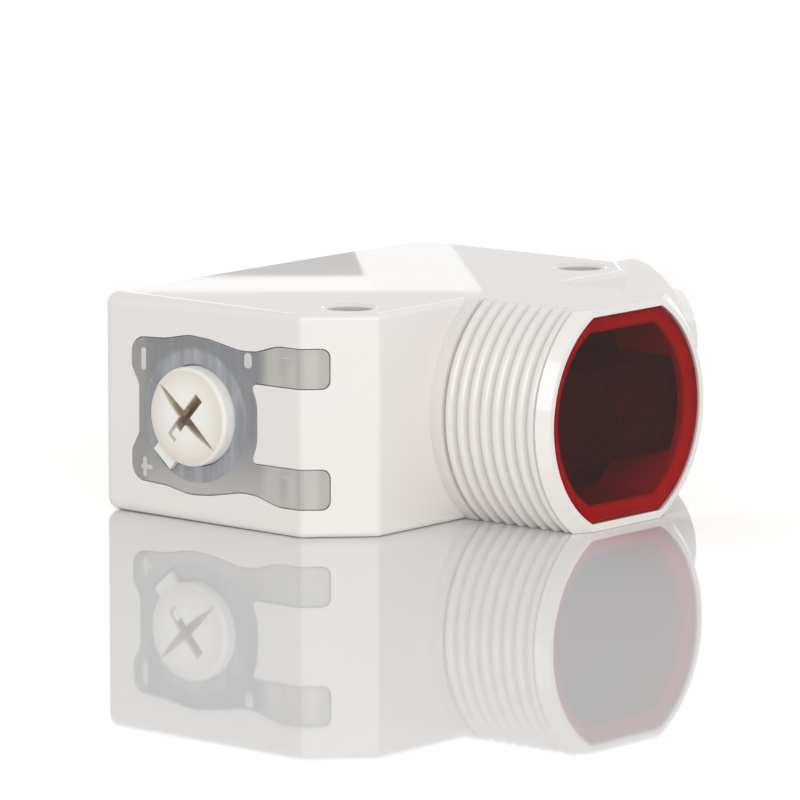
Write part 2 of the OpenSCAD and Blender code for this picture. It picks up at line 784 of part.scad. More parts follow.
module board_capacitors() color([0.75, 0.55, 0.25]) for (side = [-1, 0, 1])
    translate([board_front_x, carrier_r + capacitor_gap,
        mid_z + side * capacitor_side - capacitor_size[2] / 2]) cube(capacitor_size);

// Indicator light at the edge of the main board, behind a finger of the clear plate
module indicator_led(side) {
    translate([board_front_x, board_start_y, adjuster_z + side * finger_mid - led_size[2] / 2])
        cube(led_size);
}

module power_led() color([0.3, 0.8, 0.35]) indicator_led(-1);
module signal_led() color([0.9, 0.75, 0.2]) indicator_led(1);

module contact_pin_set(r, y0, y1) {
    for (a = [45, 135, 225, 315]) on_connector(y0) rotate([0, 0, a])
        translate([pin_circle_d / 2, 0, 0]) cylinder(r = r, h = y1 - y0);
}

module connector_insert() color(black) difference() {
    on_connector(insert_rear) cylinder(r = insert_r, h = socket_floor - seat_gap - insert_rear);
    contact_pin_set(pin_d / 2, insert_rear - 1, collar_end);
    on_connector(end_y) rotate_extrude() translate([insert_r, 0])
        square([4 * insert_seal_wire_r, 2.4 * insert_seal_wire_r], center = true);
}

module contact_pins() color([0.85, 0.68, 0.3]) {
    contact_pin_set(pin_d / 2, link_board_back - pin_tail, collar_end - pin_point);
    for (a = [45, 135, 225, 315]) on_connector(collar_end - pin_point) rotate([0, 0, a])
        translate([pin_circle_d / 2, 0, -eps])
            cylinder(r1 = pin_d / 2, r2 = pin_d / 4, h = pin_d / 2);
}

module insert_seal() color([0.15, 0.15, 0.16]) on_connector(end_y) rotate_extrude()
    translate([insert_bore_r - insert_seal_wire_r - 0.02, 0]) circle(r = insert_seal_wire_r);

module connector_board() color(board_green) difference() {
    block([-collar_setback - insert_r, link_board_back, board_low_z + 0.5],
        [board_back_x, link_board_front, board_high_z - 0.5]);
    contact_pin_set(pin_d / 2 + 0.03, link_board_back - 1, link_board_front + 1);
}

module board_header() color(black)
    translate([board_back_x, link_board_back, mid_z] - [header_size[0], header_size[1], header_size[2] / 2])
        cube(header_size);

housing();
rear_cover();
front_window();
indicator_window();
adjuster_knob();
adjuster_seal();
adjuster_bush();
trimmer_body();
trimmer_rotor();
optics_carrier();
emitter_lens();
receiver_lens();
emitter_polariser();
receiver_polariser();
emitter_led();
receiver_diode();
main_board();
shield_can();
amplifier_chip();
control_chip();
output_transistors();
board_capacitors();
power_led();
signal_led();
connector_insert();
contact_pins();
insert_seal();
connector_board();
board_header();
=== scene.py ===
# Retroreflective photoelectric sensor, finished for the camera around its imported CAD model.
# Everything is in metres in the part's own frame: X out of the nose, Y to the connector, Z up.
import json
import math
import bpy
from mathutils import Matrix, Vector


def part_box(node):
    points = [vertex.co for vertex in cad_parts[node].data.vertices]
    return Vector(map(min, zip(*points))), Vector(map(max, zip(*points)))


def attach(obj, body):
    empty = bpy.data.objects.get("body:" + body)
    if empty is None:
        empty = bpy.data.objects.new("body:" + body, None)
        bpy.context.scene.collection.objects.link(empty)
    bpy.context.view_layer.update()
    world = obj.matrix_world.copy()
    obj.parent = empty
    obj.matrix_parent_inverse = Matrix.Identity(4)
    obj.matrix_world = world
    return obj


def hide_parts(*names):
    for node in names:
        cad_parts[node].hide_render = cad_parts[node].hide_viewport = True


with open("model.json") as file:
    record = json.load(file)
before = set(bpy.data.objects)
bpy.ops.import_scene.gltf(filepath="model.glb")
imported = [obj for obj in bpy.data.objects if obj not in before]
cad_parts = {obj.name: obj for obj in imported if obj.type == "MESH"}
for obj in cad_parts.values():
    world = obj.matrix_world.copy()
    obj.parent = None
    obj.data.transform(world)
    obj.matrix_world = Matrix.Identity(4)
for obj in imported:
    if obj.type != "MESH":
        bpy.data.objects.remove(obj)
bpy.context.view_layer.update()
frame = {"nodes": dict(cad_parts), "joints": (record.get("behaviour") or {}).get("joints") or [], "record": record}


# Camera
# The photograph is taken from half a metre away with a long lens, a little above the sensor, and
# looks at the bevelled corner between the adjuster face and the nose.
camera_place = (0.31242, -0.38589, 0.08783)
looking = Vector((-0.63311, 0.7574, -0.15977))
camera = bpy.data.objects.new("camera", bpy.data.cameras.new("camera"))
bpy.context.scene.collection.objects.link(camera)
camera.location = camera_place
camera.rotation_mode = "QUATERNION"
camera.rotation_quaternion = looking.to_track_quat("-Z", "Y")
camera.data.sensor_width = 36
camera.data.lens = 334.3
camera.data.clip_start = 0.02
camera.data.clip_end = 10
bpy.context.scene.camera = camera


# Housing
# One moulding in warm white, hard and glossy plastic: the box, the threaded nose, the hole posts
# and the connector collar. The polished mould gives it a clear gloss over a very faint ripple.
mm = 0.001


def linear(red, green, blue):
    """A colour as it looks on the screen, 0 to 255 each, turned into what a shader takes."""
    shares = (red / 255, green / 255, blue / 255)
    return tuple(s / 12.92 if s < 0.04045 else ((s + 0.055) / 1.055) ** 2.4 for s in shares) + (1,)


def plug(tree, socket, value):
    """Sets a socket to a value, or links another node's output to it."""
    if isinstance(value, bpy.types.NodeSocket):
        tree.links.new(value, socket)
    else:
        socket.default_value = value


def fill(tree, node, inputs):
    """Plugs a value or an output into each of the node's inputs that is named."""
    for name, value in inputs.items():
        plug(tree, node.inputs[name.replace("_", " ")], value)
    return node


def add(tree, kind, **inputs):
    return fill(tree, tree.nodes.new("ShaderNode" + kind), inputs)


def figure(tree, kind, operation, *values):
    """The number that a Math or VectorMath node works out from these values or outputs."""
    node = tree.nodes.new("ShaderNode" + kind)
    node.operation = operation
    for socket, value in zip(node.inputs, values):
        plug(tree, socket, value)
    return node.outputs["Value"]


def blend(tree, share, low, high):
    """The colour that lies that share of the way from low to high."""
    mix = tree.nodes.new("ShaderNodeMix")
    mix.data_type = "RGBA"
    share_socket, low_socket, high_socket, colour_output = 0, 6, 7, 2
    plug(tree, mix.inputs[share_socket], share)
    plug(tree, mix.inputs[low_socket], low)
    plug(tree, mix.inputs[high_socket], high)
    return mix.outputs[colour_output]


def spread(tree, value, low, high, start=0.3, end=0.7):
    """A number that goes from low to high while the given value goes from start to end."""
    limits = {"From Min": start, "From Max": end, "To Min": low, "To Max": high}
    return fill(tree, add(tree, "MapRange", Value=value), limits).outputs["Result"]


def place_on(tree):
    """Where a point lies on the sensor: the outputs X, Y and Z, in metres."""
    return add(tree, "SeparateXYZ", Vector=add(tree, "TexCoord").outputs["Object"]).outputs


def new_group(name, inputs, outputs):
    """A node group that takes numbers, each with its usual value, and gives masks or normals."""
    tree = bpy.data.node_groups.new(name, "ShaderNodeTree")
    for label, value in inputs.items():
        socket = tree.interface.new_socket(label, in_out="INPUT", socket_type="NodeSocketFloat")
        socket.default_value = value
    for label in outputs:
        kind = "NodeSocketVector" if label == "Normal" else "NodeSocketFloat"
        tree.interface.new_socket(label, in_out="OUTPUT", socket_type=kind)
    return tree, tree.nodes.new("NodeGroupInput").outputs, tree.nodes.new("NodeGroupOutput").inputs


def use(tree, group, **inputs):
    """That group with this finish's own values."""
    node = tree.nodes.new("ShaderNodeGroup")
    node.node_tree = group
    return fill(tree, node, inputs).outputs


def new_material(name, **settings):
    """A material with one Principled shader, and the values that are the same all over it."""
    material = bpy.data.materials.new(name)
    material.use_nodes = True
    tree = material.node_tree
    tree.nodes.clear()
    shader = add(tree, "BsdfPrincipled", **settings)
    output = add(tree, "OutputMaterial", Surface=shader.outputs["BSDF"])
    return material, tree, shader, output


def shader_of(material):
    return next(node for node in material.node_tree.nodes if node.type == "BSDF_PRINCIPLED")


# Moulded skin: a slow flow pattern, as the melt cooled, and a fine grain on top of it
moulded_skin, take, give = new_group("moulded_skin", {"Flow Scale": 90, "Grain Scale": 5200},
                                     ["Flow", "Grain"])
spot = add(moulded_skin, "TexCoord").outputs["Object"]
flow = add(moulded_skin, "TexNoise", Vector=spot, Scale=take["Flow Scale"], Detail=3)
grain = add(moulded_skin, "TexNoise", Vector=spot, Scale=take["Grain Scale"], Detail=4, Roughness=0.6)
plug(moulded_skin, give["Flow"], flow.outputs["Fac"])
plug(moulded_skin, give["Grain"], grain.outputs["Fac"])

# Eased edge: the small round that every moulded or cut edge has, and a mask that is 1 along it
eased_edge, take, give = new_group("eased_edge", {"Radius": 0.1 * mm}, ["Normal", "Edge"])
easing = add(eased_edge, "Bevel", Radius=take["Radius"])
easing.samples = 6
flat_normal = add(eased_edge, "NewGeometry").outputs["Normal"]
turned = figure(eased_edge, "VectorMath", "DOT_PRODUCT", easing.outputs["Normal"], flat_normal)
plug(eased_edge, give["Edge"], spread(eased_edge, turned, 0, 1, 0.995, 0.8))
plug(eased_edge, give["Normal"], easing.outputs["Normal"])


def moulded(name, low, high, edge, rough, depth, radius=0.1, grain=5200, **settings):
    """Moulded plastic: its two shades, its edge colour, which is a highlight painted along the rounded edges, its
    roughness range and its grain's depth in mm.
    """
    material, tree, shader, _ = new_material(name, **settings)
    skin = use(tree, moulded_skin, Grain_Scale=grain)
    ease = use(tree, eased_edge, Radius=radius * mm)
    body = blend(tree, spread(tree, skin["Flow"], 0, 1), low, high)
    ripple = add(tree, "Bump", Height=skin["Grain"], Normal=ease["Normal"], Distance=depth * mm)
    # The edge colour is a painted highlight along the rounded edges
    fill(tree, shader, {"Base Color": blend(tree, ease["Edge"], body, edge),
                        "Roughness": spread(tree, skin["Grain"], *rough),
                        "Normal": ripple.outputs["Normal"]})
    return material


def cover(piece, *materials):
    """Gives a piece these materials in place of all that it has."""
    piece.data.materials.clear()
    for material in materials:
        piece.data.materials.append(material)


def finish(material, *nodes):
    """Gives CAD nodes this material in place of the plain one they are packed with."""
    for name in nodes:
        cover(frame["nodes"][name], material)


housing_white = moulded("housing_white", linear(236, 232, 228), linear(238, 234, 230), linear(243, 239, 235),
                        (0.3, 0.36), 0.0015, IOR=1.53, Coat_Weight=1, Coat_Roughness=0.012, Coat_IOR=1.5)

# Inside the side holes the white is painted darker: painted shade in the recesses
tree = housing_white.node_tree
shader = shader_of(housing_white)
place = place_on(tree)
seen_from_above = add(tree, "CombineXYZ", X=place["X"], Y=place["Y"]).outputs[0]
shade = shader.inputs["Base Color"].links[0].from_socket
for mount in frame["record"]["mounts"]:
    if mount["kind"] == "bore":
        hole_x, hole_y, _ = mount["pos_m"]
        hole_radius = mount["dims"]["r_mm"] * mm
        off_axis = figure(tree, "VectorMath", "DISTANCE", seen_from_above, (hole_x, hole_y, 0))
        hole_shade = spread(tree, off_axis, 1, 0, hole_radius + 0.04 * mm, hole_radius + 0.08 * mm)
        shade = blend(tree, hole_shade, shade, linear(212, 209, 207))
fill(tree, shader, {"Base Color": shade})
finish(housing_white, "housing")


# Rear cover
# A separate plate of the same plastic, welded into the back once the parts are in. It is moulded
# in another tool, so its gloss is a little duller.
cover_white = moulded("cover_white", linear(233, 229, 225), linear(236, 232, 228), linear(240, 237, 233),
                      (0.36, 0.44), 0.003, IOR=1.53, Coat_Weight=0.4, Coat_Roughness=0.12)
finish(cover_white, "rear_cover")


# Front window
# Flat pane of clear deep red plastic that lets the sensor's red light through. It is welded to a
# ledge of the nose, whose white shows as a bright red band round the dark opening.
round_limit = math.radians(32)


def either(tree, share, first, second):
    """The first shader where the share is 0, and the second where it is 1."""
    mix = tree.nodes.new("ShaderNodeMixShader")
    for socket, value in zip(mix.inputs, (share, first.outputs[0], second.outputs[0])):
        plug(tree, socket, value)
    return mix.outputs["Shader"]


def clear_plastic(name, tint, lamp_tint, cloud, depth, grain=5200, clear=1, **settings):
    """Clear or tinted plastic. Lamps light what is behind it through a plain tinted film."""
    material, tree, shader, output = new_material(name, Base_Color=tint, Transmission_Weight=clear,
                                                  **settings)
    skin = use(tree, moulded_skin, Grain_Scale=grain)
    ease = use(tree, eased_edge)
    ripple = add(tree, "Bump", Height=skin["Grain"], Normal=ease["Normal"], Distance=depth * mm)
    fill(tree, shader, {"Roughness": spread(tree, skin["Flow"], *cloud), "Normal": ripple.outputs["Normal"]})
    film = add(tree, "BsdfTransparent", Color=lamp_tint)
    lamp_ray = add(tree, "LightPath").outputs["Is Shadow Ray"]
    plug(tree, output.inputs["Surface"], either(tree, lamp_ray, shader, film))
    return material


def pick(piece, kind, wanted):
    """Goes into edit mode with the piece's edges or faces selected that wanted says yes to."""
    bpy.ops.object.mode_set(mode="EDIT")
    bpy.ops.mesh.select_mode(type=kind)
    bpy.ops.mesh.select_all(action="DESELECT")
    bpy.ops.object.mode_set(mode="OBJECT")
    for item in piece.data.polygons if kind == "FACE" else piece.data.edges:
        item.select = wanted(item)
    bpy.ops.object.mode_set(mode="EDIT")


def smooth(piece):
    """Smooth shading over the active piece's rounds, with the flat faces beside them kept flat."""
    bpy.ops.object.shade_smooth_by_angle(angle=round_limit)
    flatter = piece.modifiers.new("flatter", "WEIGHTED_NORMAL")
    flatter.keep_sharp = True
    bpy.ops.object.modifier_apply(modifier="flatter")


def round_edges(piece, width, limit=round_limit):
    """Rounds the edges that turn by more than the limit, by a width in mm."""
    easing = piece.modifiers.new("eased", "BEVEL")
    easing.width = width * mm
    easing.segments = 2
    easing.limit_method = "ANGLE"
    easing.angle_limit = limit
    bpy.ops.object.modifier_apply(modifier="eased")


def eased_copy(node, name, width=0):
    """A copy of a CAD node as one closed mesh, its edges rounded by a width in mm, in that node's place."""
    piece = bpy.data.objects.new(name, frame["nodes"][node].data.copy())
    bpy.context.scene.collection.objects.link(piece)
    bpy.ops.object.select_all(action="DESELECT")
    piece.select_set(True)
    bpy.context.view_layer.objects.active = piece
    bpy.ops.object.mode_set(mode="EDIT")
    bpy.ops.mesh.select_all(action="SELECT")
    bpy.ops.mesh.remove_doubles(threshold=0.002 * mm)
    bpy.ops.mesh.dissolve_limited(angle_limit=math.radians(1))
    bpy.ops.object.mode_set(mode="OBJECT")
    if piece.data.has_custom_normals:
        bpy.ops.mesh.customdata_custom_splitnormals_clear()
    if width:
        round_edges(piece, width)
    smooth(piece)
    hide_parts(node)
    return piece


# A low refractive index keeps the white studio out of the pane, which is as dark as the real one
red_pane = clear_plastic("red_pane", (0.5, 0.008, 0.012, 1), (0.72, 0.09, 0.1, 1), (0.0, 0.03), 0.0004,
                         IOR=1.26)
weld_red, tree, shader, _ = new_material("weld_red", Coat_Weight=0.2)
skin = use(tree, moulded_skin, Flow_Scale=700, Grain_Scale=6000)
fill(tree, shader, {"Base Color": blend(tree, spread(tree, skin["Flow"], 0, 1), (0.58, 0.009, 0.011, 1),
                                        (0.73, 0.019, 0.017, 1)),
                    "Roughness": spread(tree, skin["Grain"], 0.45, 0.65)})
ledge_width = 0.95 * mm
weld_gap = 0.02 * mm
pane = eased_copy("front_window", "red_window")
back = min(v.co.x for v in pane.data.vertices)
near_back = back + weld_gap / 2

# The weld is the outer ring of the back, and stands clear of the ledge by the weld's gap
pick(pane, "FACE", lambda face: face.normal.x < -0.99 and face.center.x < near_back)
bpy.ops.mesh.inset(thickness=ledge_width, use_even_offset=True)
bpy.ops.object.mode_set(mode="OBJECT")
for vertex in pane.data.vertices:
    if vertex.co.x < near_back:
        vertex.co.x = back + weld_gap
cover(pane, red_pane, weld_red)
for face in pane.data.polygons:
    on_side = abs(face.normal.x) < 0.5
    on_ring = face.center.x < back + 2 * weld_gap and not face.select
    face.material_index = 1 if on_side or on_ring else 0
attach(pane, "sensor_body")


# Optics behind the window
# A black carrier holds a lens and a polarising film for the light that goes out, and another set
# for the light that comes back. The source and the detector stand behind them on the board.
carrier_black = moulded("carrier_black", linear(34, 32, 34), linear(46, 43, 44), linear(70, 66, 66),
                        (0.42, 0.6), 0.006, grain=3200)
finish(carrier_black, "optics_carrier")
lens_clear = clear_plastic("lens_clear", (0.97, 0.98, 0.98, 1), (0.95, 0.96, 0.96, 1), (0.0, 0.02), 0.0002,
                           IOR=1.49)
finish(lens_clear, "emitter_lens", "receiver_lens")
film_grey = clear_plastic("film_grey", (0.34, 0.32, 0.36, 1), (0.6, 0.58, 0.62, 1), (0.02, 0.06), 0.0004,
                          grain=9000, IOR=1.48)
finish(film_grey, "emitter_polariser", "receiver_polariser")
source_red = moulded("source_red", linear(176, 42, 34), linear(206, 60, 46), linear(222, 120, 104),
                     (0.08, 0.16), 0.001, Subsurface_Weight=0.3, Subsurface_Scale=0.0006)
finish(source_red, "emitter_led")
detector_dark = moulded("detector_dark", linear(22, 16, 26), linear(38, 26, 40), linear(60, 48, 62),
                        (0.06, 0.14), 0.001, Coat_Weight=0.6)
finish(detector_dark, "receiver_diode")


# Circuit boards
# The main board stands across the body behind the optics, and a small board joins it to the
# connector. Both are glass cloth in green lacquer, with copper tracks that show as lighter lines.
copper_tracks, take, give = new_group("copper_tracks", {"Pitch": 1100}, ["Track", "Weave"])
spot = add(copper_tracks, "TexCoord").outputs["Object"]
run = add(copper_tracks, "TexVoronoi", Vector=spot, Scale=take["Pitch"])
run.distance = "MANHATTAN"
weave = add(copper_tracks, "TexNoise", Vector=spot, Scale=9000, Detail=2)
plug(copper_tracks, give["Track"], spread(copper_tracks, run.outputs["Distance"], 1, 0, 0.42, 0.5))
plug(copper_tracks, give["Weave"], weave.outputs["Fac"])
board_lacquer, tree, shader, _ = new_material("board_lacquer", Coat_Weight=0.5, Coat_Roughness=0.1)
tracks = use(tree, copper_tracks, Pitch=900)
lacquer = blend(tree, tracks["Track"], linear(16, 84, 52), linear(38, 120, 74))
raised = add(tree, "Bump", Height=tracks["Track"], Distance=0.035 * mm)
fill(tree, shader, {"Base Color": lacquer, "Roughness": spread(tree, tracks["Weave"], 0.28, 0.42),
                    "Normal": raised.outputs["Normal"]})
finish(board_lacquer, "main_board", "connector_board")

can_steel, tree, shader, _ = new_material("can_steel", Metallic=1.0)
skin = use(tree, moulded_skin, Flow_Scale=260, Grain_Scale=7000)
ease = use(tree, eased_edge, Radius=0.15 * mm)
drawn = add(tree, "Bump", Height=skin["Grain"], Normal=ease["Normal"], Distance=0.002 * mm)
fill(tree, shader, {"Base Color": blend(tree, skin["Flow"], linear(178, 180, 182), linear(205, 206, 206)),
                    "Roughness": spread(tree, skin["Grain"], 0.22, 0.4), "Normal": drawn.outputs["Normal"]})
finish(can_steel, "shield_can")
chip_epoxy = moulded("chip_epoxy", linear(30, 30, 32), linear(40, 40, 42), linear(62, 62, 64),
                     (0.5, 0.7), 0.006, grain=8000)
finish(chip_epoxy, "amplifier_chip", "control_chip", "output_transistors", "board_header")

# A chip capacitor is tan ceramic with tinned caps. The tan bands repeat at the capacitors' pitch,
# and lie 0.3 mm low, so that each capacitor shows the cap of its upper end
capacitor_pitch = 3.6 * mm
half_band = 0.5 * mm
ceramic, tree, shader, _ = new_material("ceramic")
along = figure(tree, "Math", "PINGPONG", place_on(tree)["Z"], capacitor_pitch / 2)
tinned = spread(tree, along, 0, 1, half_band, half_band + 0.02 * mm)
skin = use(tree, moulded_skin, Flow_Scale=900, Grain_Scale=9000)
fill(tree, shader, {"Base Color": blend(tree, tinned, linear(168, 132, 92), linear(200, 200, 198)),
                    "Metallic": tinned, "Roughness": spread(tree, skin["Grain"], 0.3, 0.5)})
finish(ceramic, "board_capacitors")
lit_green = moulded("lit_green", linear(120, 200, 130), linear(140, 214, 148), linear(190, 235, 196),
                    (0.15, 0.25), 0.001, Transmission_Weight=0.3)
finish(lit_green, "power_led")
lit_amber = moulded("lit_amber", linear(232, 176, 70), linear(240, 190, 90), linear(250, 220, 160),
                    (0.15, 0.25), 0.001, Transmission_Weight=0.3)
finish(lit_amber, "signal_led")


# Adjuster
# The white knob turns in a natural white bush with a rubber ring on its stem, and turns the rotor
# of a small trimmer behind it. The knob is a separate, more matt moulding than the housing, and
# the bottoms of its slots are painted tan to brown as shade.
hinge = frame["joints"][0]
knob_axis = Vector((hinge["pos_m"][0], 0, hinge["pos_m"][2]))
knob_top = -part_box("adjuster_knob")[0].y
dome_radius = 19.1 * mm
head_radius = 3.375 * mm
rim_round = 0.42 * mm
rim_start = head_radius - rim_round
dome_steps = 8
rim_steps = 6


def dome_at(radius):
    """How far the dome stands out at this radius from the knob's axis."""
    return knob_top - dome_radius + math.sqrt(dome_radius ** 2 - radius ** 2)


# What the knob keeps: all that is under the dome, inside the rounded rim, or below the rim
profile = [(rim_start * step / dome_steps, dome_at(rim_start * step / dome_steps))
           for step in range(dome_steps + 1)]
for step in range(1, rim_steps + 1):
    turn = math.radians(90 * step / rim_steps)
    profile.append((rim_start + rim_round * math.sin(turn),
                    dome_at(rim_start) - rim_round * (1 - math.cos(turn))))
below_rim = dome_at(rim_start) - rim_round - 0.03 * mm
past_tab = 6 * mm  # a radius beyond the pointer tab
over_tab = 18.38 * mm  # how far out the tab is cleared
in_body = 5 * mm  # behind the end of the stem
profile += [(head_radius + 0.02 * mm, below_rim), (past_tab, over_tab), (past_tab, in_body), (0, in_body)]
corners = [knob_axis + Vector((radius, -out, 0)) for radius, out in profile]

# The outline is drawn by pulling one point along it, and spun into a solid
bpy.ops.object.select_all(action="DESELECT")
bpy.ops.mesh.primitive_plane_add(size=mm, location=corners[0])
dome = bpy.context.object
bpy.ops.object.transform_apply(location=True, rotation=True, scale=True)
bpy.ops.object.mode_set(mode="EDIT")
bpy.ops.mesh.select_mode(type="VERT")
bpy.ops.mesh.select_all(action="SELECT")
bpy.ops.mesh.merge(type="CENTER")
for corner, next_corner in zip(corners, corners[1:]):
    bpy.ops.mesh.extrude_region_move(TRANSFORM_OT_translate={"value": next_corner - corner})
bpy.ops.mesh.select_all(action="SELECT")
bpy.ops.mesh.spin(steps=144, angle=math.tau, center=knob_axis, axis=(0, 1, 0))
bpy.ops.mesh.select_all(action="SELECT")
bpy.ops.mesh.remove_doubles(threshold=0.001 * mm)
bpy.ops.mesh.normals_make_consistent(inside=False)
bpy.ops.object.mode_set(mode="OBJECT")
knob = eased_copy("adjuster_knob", "turned_knob")
turning = knob.modifiers.new("turned", "BOOLEAN")
turning.operation = "INTERSECT"
turning.solver = "EXACT"
turning.object = dome
bpy.ops.object.modifier_apply(modifier="turned")
round_edges(knob, 0.04, math.radians(40))
bpy.data.objects.remove(dome, do_unlink=True)
smooth(knob)


def off_knob_axis(tree, place):
    """How far a point lies from the axis that the knob turns about."""
    flat_place = add(tree, "CombineXYZ", X=place["X"], Z=place["Z"]).outputs[0]
    return figure(tree, "VectorMath", "DISTANCE", flat_place, knob_axis)


knob_white = moulded("knob_white", linear(244, 241, 236), linear(247, 245, 240), linear(250, 248, 245),
                     (0.38, 0.5), 0.002, radius=0.08, Subsurface_Weight=0.12, Subsurface_Scale=0.0008)
tree = knob_white.node_tree
shader = shader_of(knob_white)
place = place_on(tree)
off_axis = off_knob_axis(tree, place)
slot_depth = (-19.05 * mm, -18.75 * mm)  # the painted slot shade starts below the rim of a slot and is full here
slot_ends = (3.1 * mm, 3.25 * mm)
shade_reach = (0.3 * mm, 1.9 * mm)  # darkest at the middle of the cross
# Painted shade: the slots' bottoms are painted tan, and brown near the middle of the cross
in_slot = figure(tree, "Math", "MULTIPLY", spread(tree, place["Y"], 0, 1, *slot_depth),
                 spread(tree, off_axis, 1, 0, *slot_ends))
near_centre = spread(tree, off_axis, 1, 0, *shade_reach)
slot_shade = blend(tree, near_centre, linear(222, 210, 194), linear(150, 130, 112))
unshaded = shader.inputs["Base Color"].links[0].from_socket
fill(tree, shader, {"Base Color": blend(tree, in_slot, unshaded, slot_shade)})
cover(knob, knob_white)
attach(knob, "adjuster")

bush_white = moulded("bush_white", linear(214, 212, 208), linear(222, 220, 216), linear(230, 228, 225),
                     (0.4, 0.55), 0.004)
finish(bush_white, "adjuster_bush")
seal_black = moulded("seal_black", linear(24, 24, 25), linear(34, 34, 35), linear(44, 44, 45),
                     (0.6, 0.8), 0.008, grain=3000, Sheen_Weight=0.2)
finish(seal_black, "adjuster_seal", "insert_seal")
trimmer_blue = moulded("trimmer_blue", linear(36, 78, 140), linear(44, 88, 152), linear(90, 130, 180),
                       (0.35, 0.5), 0.004)
finish(trimmer_blue, "trimmer_body")
rotor_white = moulded("rotor_white", linear(222, 220, 208), linear(230, 228, 218), linear(238, 236, 228),
                      (0.35, 0.5), 0.003)
finish(rotor_white, "trimmer_rotor")


# Indicator plate
# Smoky clear plate let flush into the adjuster face. Its two fingers run round the bevelled corner
# so that the indicators behind them show from the front, and the knob's pointer runs in its track.
plate = eased_copy("indicator_window", "clear_plate", 0.09)
plate_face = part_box("indicator_window")[0].y
smoky_plate = clear_plastic("smoky_plate", (0.3, 0.3, 0.31, 1), (0.7, 0.7, 0.71, 1), (0.05, 0.12), 0.0008,
                            clear=0.4, IOR=1.5, Coat_Weight=0.6, Coat_Roughness=0.03)
tree = smoky_plate.node_tree
place = place_on(tree)


def zone(value, start, stop, low=0, high=1):
    """A mask on the plate that goes from low to high between two places in mm."""
    return spread(tree, value, low, high, start * mm, stop * mm)


def flow_and_glint_streaks(scale, detail, start, stop, high=1):
    """A mask of upright streaks: painted glints on the plate round the knob, and plain flow tone on the fingers.
    They run along the axis whose scale is small.
    """
    drawn_out = add(tree, "Mapping", Vector=add(tree, "TexCoord").outputs["Object"], Scale=scale)
    lines = add(tree, "TexNoise", Vector=drawn_out.outputs["Vector"], Scale=1, Detail=detail)
    return spread(tree, lines.outputs["Fac"], 0, high, start, stop)


# Round the knob the plate is grey over the dark inside. It is paler low down. Painted glint streaks run up it, and
# the track is painted paler and bluish as painted light, with painted glints.
upright_fine = (1500, 1500, 260)
upright_broad = (900, 900, 60)
low_part = (2.4, 6.4)
track_edge = (4.5, 4.62)
ear_root = (-17.6, -17.0)
finger_root = (-7.4, -6.5)
body = blend(tree, zone(place["Z"], *low_part, 1, 0), linear(160, 161, 163), linear(218, 214, 208))
body = blend(tree, flow_and_glint_streaks(upright_fine, 2, 0.45, 0.7, 0.22), body, linear(196, 199, 205))
track_painted_light = blend(tree, flow_and_glint_streaks(upright_fine, 2, 0.35, 0.7), linear(172, 175, 181), linear(206, 208, 212))
body = blend(tree, zone(off_knob_axis(tree, place), *track_edge, 1, 0), body, track_painted_light)
body = blend(tree, zone(place["X"], *ear_root, 1, 0), body, linear(186, 184, 181))

# The fingers lie on white plastic and are pale, with broad streaks of flow tone, and with painted light and shade
# bands where they bulge and turn the corner
finger = blend(tree, flow_and_glint_streaks(upright_broad, 1, 0.35, 0.65), linear(214, 210, 204), linear(225, 222, 217))
# Painted reflections and shade: lighter and darker bands across the fingers where they turn the corner
for start, stop, share, shade in ((-4.3, -3.75, 0.6, linear(202, 198, 192)),
                                  (-3.62, -3.5, 0.85, linear(224, 221, 217)),
                                  (-2.95, -2.8, 0.85, linear(206, 203, 198)),
                                  (-1.7, -0.9, 0.85, linear(216, 213, 209))):
    finger = blend(tree, zone(place["X"], start, stop, 0, share), finger, shade)
shade = blend(tree, zone(place["X"], *finger_root), body, finger)
# Painted highlight: the plate's rounded rim is painted pale
rim = use(tree, eased_edge, Radius=0.12 * mm)["Edge"]
fill(tree, shader_of(smoky_plate), {"Base Color": blend(tree, rim, shade, linear(244, 243, 240))})
cover(plate, smoky_plate)
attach(plate, "sensor_body")
mark_pale = moulded("mark_pale", linear(196, 197, 197), linear(212, 212, 211), linear(228, 228, 227),
                    (0.15, 0.25), 0.0006, Coat_Weight=0.5, Coat_Roughness=0.05)


def raised_bar(name, x, z, wide, tall, proud=0.05, sunk=0.08):
    """A low mark with rounded edges on the plate's outer face. Places and sizes are in mm."""
    bpy.ops.object.select_all(action="DESELECT")
    middle = (x * mm, plate_face + (sunk - proud) / 2 * mm, z * mm)
    size = (wide * mm, (proud + sunk) * mm, tall * mm)
    corner_round = 0.45 * min(wide, tall) * mm
    top_round = 0.8 * proud * mm
    bpy.ops.mesh.primitive_cube_add(size=1, location=middle, scale=size)
    piece = bpy.context.object
    piece.name = name
    bpy.ops.object.transform_apply(location=True, rotation=True, scale=True)

    def runs_inwards(edge):
        first, second = (piece.data.vertices[end].co for end in edge.vertices)
        return abs(first.y - second.y) > proud * mm

    pick(piece, "EDGE", runs_inwards)
    bpy.ops.mesh.bevel(offset=corner_round, segments=6)
    pick(piece, "FACE", lambda face: face.normal.y < -0.99)
    bpy.ops.mesh.bevel(offset=top_round, segments=3)
    bpy.ops.object.mode_set(mode="OBJECT")
    bpy.ops.object.shade_smooth_by_angle(angle=math.radians(35))
    piece.data.materials.append(mark_pale)
    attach(piece, "sensor_body")


raised_bar("minus_mark", -17.57, 10.73, 0.41, 1.54)
raised_bar("plus_mark_long", -17.5, 3.38, 0.34, 1.36)
raised_bar("plus_mark_short", -17.33, 3.37, 1.02, 0.34, proud=0.045)
# Painted highlights: a pale spot where a glint lies by the upper finger's root, and two thin pale lines where
# glints run along the fingers
raised_bar("ring_glint_spot", -8.26, 11.5, 0.65, 1.05, proud=0.08)
for name, z in (("upper_finger_glint", 12.0), ("lower_finger_glint", 4.0)):
    raised_bar(name, -4.95, z, 0.8, 0.09, proud=0.03)


